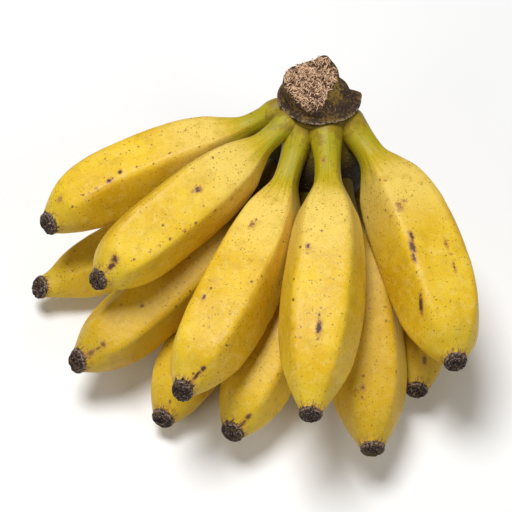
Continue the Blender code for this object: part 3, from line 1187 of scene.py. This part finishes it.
@dataclass
class Crown:
    """The cut crown: turned body with a collar, the stub on it, and its torn face."""

    turn_steps: int = 160
    stub_sides: int = 120
    foot_radius: float = 0.0147
    foot_height: float = -0.0005
    cut_middle: Vector = field(default_factory=lambda: Vector((-0.0035, -0.001, 0.0081)))
    cut_rise: float = 0.42
    strands: int = 850
    strand_length: float = 0.0024
    strand_radius: float = 0.00016
    strand_bends: tuple[float, ...] = (-0.9, -0.45, 0.0, 0.45, 0.9)
    corner_rise: float = 0.0013
    lip_waves: float = 0.00035
    lip_grain: float = 0.00018
    bark_grain: float = 0.00012
    front_swell: float = 0.0048
    back_slim: float = 0.0036
    back_taper: float = 0.34
    ribs: float = 11.0
    rib_depth: float = 0.00045

    # Turned profile, bottom to top: radius, height above the middle of the collar
    PROFILE = (
        (0.0, -0.047), (0.006, -0.0468), (0.011, -0.046), (0.0145, -0.0442), (0.0165, -0.0412),
        (0.0178, -0.0375), (0.0184, -0.033), (0.0186, -0.028), (0.0182, -0.022),
        (0.0172, -0.015), (0.016, -0.0095), (0.0152, -0.0066), (0.0156, -0.005),
        (0.0161, -0.0042), (0.0164, -0.0035), (0.0163, -0.0028), (0.016, -0.0022),
        (0.0164, -0.0017), (0.0168, -0.0013), (0.017, -0.0009), (0.017, -0.0005),
        (0.0167, -0.0001), (0.0162, 0.0001), (0.0156, 0.0001), (0.0149, 0.0), (0.0142, 0.0002),
        (0.0134, 0.0008), (0.012, 0.0022), (0.006, 0.0033), (0.0, 0.0035),
    )
    # Direction round the cut in degrees from +X towards the back, radius there
    OUTLINE = (
        (3, 0.0103), (24, 0.0115), (46, 0.0117), (61, 0.0122), (86, 0.0088), (123, 0.0082),
        (147, 0.01), (178, 0.0114), (196, 0.0112), (220, 0.01), (245, 0.0108), (265, 0.0129),
        (286, 0.012), (305, 0.0098), (328, 0.008), (345, 0.0094), (363, 0.0103),
    )
    # Stub rings, foot to the middle of the cut: share of the way up, then share of the
    # cut's outline, and height over the cut
    WALL = (
        (0.0, 1.0), (0.08, 0.985), (0.18, 0.975), (0.32, 0.97), (0.48, 0.97), (0.64, 0.975),
        (0.8, 0.985), (0.92, 0.995), (1.0, 1.0),
    )
    FACE = (
        (0.985, 0.00025), (0.96, 0.0002), (0.93, -0.00025), (0.89, -0.0005), (0.8, -0.0004),
        (0.68, -0.0003), (0.55, -0.0004), (0.42, -0.0003), (0.29, -0.00035), (0.16, -0.0003),
        (0.05, -0.0003),
    )

    def build(self, skin: Material, fibre: Material) -> list[Piece]:
        """Make the pieces of the crown and hide its CAD node.

        Args:
            skin: Finish of the bark and of the cut.
            fibre: Finish of the strands.

        Returns:
            The pieces.
        """
        body = self._body(skin)
        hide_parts("crown")
        return [body, self._stub(skin), self._strands(fibre)]

    def _body(self, skin: Material) -> Piece:
        """Turned body with the collar's lip, raised at its right corner.

        Args:
            skin: Finish of the bark and of the cut.

        Returns:
            The piece.
        """
        bm = bmesh.new()
        corners = [bm.verts.new((radius, 0.0, height)) for radius, height in self.PROFILE]
        for low, high in zip(corners, corners[1:]):
            bm.edges.new((low, high))
        bmesh.ops.spin(
            bm,
            geom=bm.verts[:] + bm.edges[:],
            axis=(0.0, 0.0, 1.0),
            cent=(0.0, 0.0, 0.0),
            angle=math.tau,
            steps=self.turn_steps,
            use_merge=True,
        )
        bmesh.ops.remove_doubles(bm, verts=bm.verts, dist=0.00001)
        piece = new_piece("crown_body", bm, skin)
        mesh = piece.data
        places = read_places(mesh)
        radius = np.hypot(places[:, 0], places[:, 1])
        turn = np.degrees(np.arctan2(places[:, 1], places[:, 0]))
        height = places[:, 2].copy()
        at_lip = smooth_step(0.0135, 0.0155, radius) * smooth_step(-0.006, -0.003, height)
        corner = np.exp(-(((turn + 4.0) / 12.0) ** 2)) * at_lip
        hollow = self.hollow(turn) * smooth_step(0.012, 0.015, radius)
        hollow *= smooth_step(-0.011, -0.004, height)
        wave = lumps(places, 0.0065, 4.0)
        fine = lumps(places, 0.0022, 7.0)
        outward = places.copy()
        outward[:, 2] = 0.0
        outward /= np.maximum(radius, 1e-6)[:, None]
        places[:, 2] += corner * self.corner_rise + at_lip * (
            self.lip_waves * wave + self.lip_grain * fine
        )
        places -= outward * (self.lip_waves * (0.7 + wave) + self.bark_grain * fine)[:, None]
        places -= outward * (hollow * radius)[:, None]
        front = smooth_step(-0.3, 0.4, -np.sin(np.radians(turn)))
        deep = 1.0 - smooth_step(-0.024, -0.008, height)
        full = smooth_step(-0.046, -0.04, height)
        full *= 1.0 - smooth_step(-0.02, -0.012, height)
        places += outward * (self.front_swell * front * full)[:, None]
        groove = self.back_slim + self.rib_depth * np.cos(np.radians(turn * self.ribs))
        slim = groove * deep * smooth_step(0.0, 0.012, radius)
        slim += self.back_taper * radius * (1.0 - smooth_step(-0.045, -0.028, height))
        places -= outward * (slim * (1.0 - front))[:, None]
        lip = smooth_step(0.0166, 0.0169, radius) * (height > -0.0007) * (height < 0.0)
        # Painted shade: the lower front of the body, and less strongly the low back, which lie in
        # the fingers' shade
        gloom = front * (1.0 - smooth_step(-0.019, -0.011, height))
        gloom += 0.55 * (1.0 - front) * (1.0 - smooth_step(-0.044, -0.024, height))
        paint(
            mesh,
            lip=lip,
            below=1.0 - smooth_step(-0.003, -0.002, height),
            gloom=gloom,
            cut=np.zeros(len(places)),
            smear=0.5 * np.exp(-(((turn + 105.0) / 40.0) ** 2)) * at_lip,
        )
        write_places(mesh, places)
        mesh.transform(collar_matrix())
        return piece

    def hollow(self, turn: Array) -> Array:
        """Share of the radius that is missing behind the raised corner of the collar."""
        return 0.27 * smooth_step(-2.0, 24.0, turn) * (1.0 - smooth_step(70.0, 120.0, turn))

    def _outline(self, angle: float) -> Vector:
        """Corner of the cut in one direction, from its middle.

        Args:
            angle: Direction round the cut.

        Returns:
            The corner.
        """
        degrees = math.degrees(angle) % 360.0
        if degrees < self.OUTLINE[0][0]:
            degrees += 360.0
        reach = read_smoothly(self.OUTLINE, degrees)
        across, back = math.cos(angle), math.sin(angle)
        return Vector((across * reach, back * reach, back * reach * self.cut_rise))

    def _stub(self, skin: Material) -> Piece:
        """The stub above the collar, with a thin raised skin round the torn face.

        Args:
            skin: Finish of the bark and of the cut.

        Returns:
            The piece.
        """
        wall_rings = len(self.WALL)
        bm = grow_tube(self.stub_sides, wall_rings + len(self.FACE))
        piece = new_piece("crown_stub", bm, skin)
        mesh = piece.data
        straight = read_places(mesh)
        places, cut = straight.copy(), np.zeros(len(straight))
        smear = np.zeros(len(straight))
        for index, (across, back, level) in enumerate(straight):
            ring = int(round(level))
            angle = math.atan2(back, across)
            edge = self.cut_middle + self._outline(angle)
            if ring < wall_rings:
                way, pinch = self.WALL[ring]
                reach = self.foot_radius * (1.0 - float(self.hollow(math.degrees(angle))))
                foot = Vector((math.cos(angle), math.sin(angle), 0.0)) * reach
                foot.z = self.foot_height
                spot = foot.lerp(edge, way)
                spot = Vector((spot.x * pinch, spot.y * pinch, spot.z))
            else:
                inward, over = self.FACE[ring - wall_rings]
                spot = self.cut_middle.lerp(edge, inward) + Vector((0.0, 0.0, over))
                cut[index] = 1.0 if inward < 0.95 else 0.0
            smear[index] = math.exp(-((math.degrees(angle) + 5.0) / 38.0) ** 2)
            places[index] = spot
        rough = lumps(places, 0.003, 2.0)
        fine = lumps(places, 0.0011, 5.0)
        places[:, 2] += 0.00025 * rough + 0.00018 * fine - 0.00035
        places[:, 0] += 0.00022 * lumps(places, 0.0024, 8.0)
        write_places(mesh, places)
        none = np.zeros(len(cut))
        paint(mesh, cut=cut, lip=none, below=none, gloom=none, smear=smear)
        mesh.transform(collar_matrix())
        return piece

    def _strand(self, bend: float) -> bmesh.types.BMesh:
        """One short strand along X, bent sideways.

        Args:
            bend: How far it bends, as a share of its length.

        Returns:
            The strand.
        """
        bm = grow_tube(5, 5)
        for corner in bm.verts:
            level = corner.co.z / 4.0 - 0.5
            thick = self.strand_radius * (1.0 - 1.6 * level**2)
            corner.co = Vector(
                (
                    level * self.strand_length,
                    corner.co.x * thick + bend * self.strand_length * (level**2 - 0.08),
                    corner.co.y * thick,
                )
            )
        return bm

    def _strands(self, fibre: Material) -> Piece:
        """Loose strands that cover the cut face.

        Args:
            fibre: Finish of the strands.

        Returns:
            The piece.
        """
        draw = np.random.default_rng(31)
        bm = bmesh.new()
        shade = bm.verts.layers.float.new("shade")
        for bend in self.strand_bends:
            sample = self._strand(bend)
            mesh = bpy.data.meshes.new("strand_sample")
            sample.to_mesh(mesh)
            sample.free()
            for _ in range(self.strands // len(self.strand_bends)):
                before = len(bm.verts)
                bm.from_mesh(mesh)
                bm.verts.ensure_lookup_table()
                corners = bm.verts[before:]
                angle = draw.uniform(0.0, math.tau)
                inward = math.sqrt(draw.uniform(0.0, 1.0)) * 0.94
                spot = self.cut_middle.lerp(self.cut_middle + self._outline(angle), inward)
                spot.z += draw.uniform(-0.00025, 0.0003)
                lay = (
                    Matrix.Translation(spot)
                    @ Matrix.Rotation(math.atan(self.cut_rise), 4, "X")
                    @ Matrix.Rotation(draw.uniform(0.0, math.tau), 4, "Z")
                    @ Matrix.Rotation(draw.normal(0.0, 0.13), 4, "Y")
                    @ Matrix.Rotation(draw.uniform(0.0, math.tau), 4, "X")
                    @ Matrix.Diagonal((draw.uniform(0.6, 1.15), 1.0, 1.0, 1.0))
                )
                bmesh.ops.transform(bm, matrix=collar_matrix() @ lay, verts=corners)
                tone = draw.uniform(0.0, 1.0)
                for corner in corners:
                    corner[shade] = tone
            bpy.data.meshes.remove(mesh)
        return new_piece("crown_strands", bm, fibre)


@dataclass(frozen=True)
class Studio:
    """Pale floor, soft lights and the camera of the photograph."""

    view: str = "Standard"
    floor_colour: Colour = (0.9, 0.9, 0.9, 1.0)
    floor_size: float = 6.0
    sky_colour: Colour = (1.0, 1.0, 1.0, 1.0)
    sky_strength: float = 0.13
    aim: Vector = field(default_factory=lambda: COLLAR_PLACE - Vector((0.0253, 0.05185, 0.038)))
    distance: float = 0.6
    elevation: float = 60.0
    lens: float = 105.0
    # Place, size, watts
    lights: tuple = (
        ((-0.16, 0.14, 1.0), 0.42, 9.2),
        ((0.6, -0.45, 0.6), 0.5, 1.7),
        ((-0.6, -0.55, 0.55), 0.5, 1.5),
    )

    def build(self) -> None:
        """Set the stage."""
        bpy.context.scene.view_settings.view_transform = self.view
        self._floor()
        self._sky()
        self._lights()
        self._camera()

    def _floor(self) -> None:
        """Plain matt floor."""
        bm = bmesh.new()
        bmesh.ops.create_grid(bm, x_segments=1, y_segments=1, size=self.floor_size / 2)
        mesh = bpy.data.meshes.new("floor")
        bm.to_mesh(mesh)
        bm.free()
        material, net, shader = new_finish("floor_paper")
        tone = net.noise(net.place(), 3.0, 2.0)
        rough = net.ramp(tone, 0.3, 0.7, 0.9, 0.95)
        net.fill(shader, Base_Color=self.floor_colour, Roughness=rough, Specular_IOR_Level=0.1)
        mesh.materials.append(material)
        add_object("floor", mesh)

    def _sky(self) -> None:
        """Even pale surroundings."""
        world = bpy.data.worlds.new("studio")
        world.use_nodes = True
        background = world.node_tree.nodes["Background"]
        net = Net(world.node_tree)
        net.fill(background, Color=self.sky_colour, Strength=self.sky_strength)
        bpy.context.scene.world = world

    def _lights(self) -> None:
        """Large soft lamps that face the hand."""
        for number, (place, size, watts) in enumerate(self.lights):
            lamp = bpy.data.lights.new(f"lamp_{number}", "AREA")
            lamp.shape = "DISK"
            lamp.size = size
            lamp.energy = watts
            item = add_object(lamp.name, lamp)
            item.location = place
            towards = self.aim - Vector(place)
            item.rotation_euler = towards.to_track_quat("-Z", "Y").to_euler()

    def _camera(self) -> None:
        """Camera at the photograph's place."""
        data = bpy.data.cameras.new("camera")
        data.lens = self.lens
        data.clip_start = 0.01
        camera = add_object("camera", data)
        rise = math.radians(self.elevation)
        back = Vector((0.0, -math.cos(rise), math.sin(rise)))
        camera.location = self.aim + back * self.distance
        camera.rotation_euler = (math.radians(90.0) - rise, 0.0, 0.0)
        bpy.context.scene.camera = camera


def main() -> None:
    """Dress the hand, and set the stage."""
    logging.basicConfig(level=logging.INFO, format="%(name)s: %(message)s")
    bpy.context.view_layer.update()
    effects = Effects.build()
    peel = PeelFinish().build(effects)
    skin = CrownFinish().build(effects)
    fibre = FibreFinish().build()
    for finger in FINGERS:
        piece = finger.build(peel)
        LOG.info("%s has %d faces", piece.name, len(piece.data.polygons))
    for piece in Crown().build(skin, fibre):
        LOG.info("%s has %d faces", piece.name, len(piece.data.polygons))
    Studio().build()


if __name__ == "__main__":
    main()
